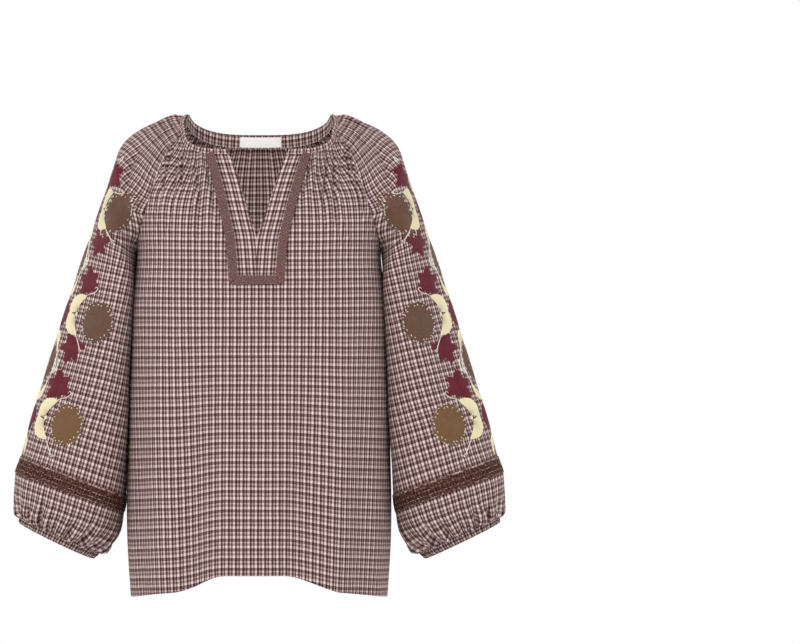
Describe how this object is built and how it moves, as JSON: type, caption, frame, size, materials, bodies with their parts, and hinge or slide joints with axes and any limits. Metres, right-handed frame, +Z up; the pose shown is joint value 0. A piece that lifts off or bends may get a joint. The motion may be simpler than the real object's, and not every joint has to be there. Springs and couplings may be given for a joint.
{
  "type": "checked peasant blouse",
  "caption": "Checked peasant blouse filled out as if worn: gathered neck with a slit and trimmed placket, full raglan sleeves with lace bands and gathered cuffs.",
  "frame": {"origin": "the point midway between the shoulders where the wearer holds the blouse up, level with the top of the shoulders", "axes": "+X to the wearer's left, -Y to the wearer's front, +Z up"},
  "size_m": [0.6954, 0.3733, 0.6818],
  "materials": {
    "checked_cotton": "woven check",
    "trim_braid": "woven braid",
    "lace_braid": "open lace braid",
    "blank_label": "satin"
  },
  "bodies": {
    "root": {"front_panel": "checked_cotton", "back_panel": "checked_cotton", "sleeve_left": "checked_cotton", "sleeve_right": "checked_cotton", "placket": "checked_cotton", "placket_trim": "trim_braid", "neck_binding": "checked_cotton", "neck_facing": "checked_cotton", "neck_label": "blank_label", "lace_band_left": "lace_braid", "lace_band_right": "lace_braid", "cuff_left": "checked_cotton", "cuff_right": "checked_cotton"}
  },
  "joints": []
}
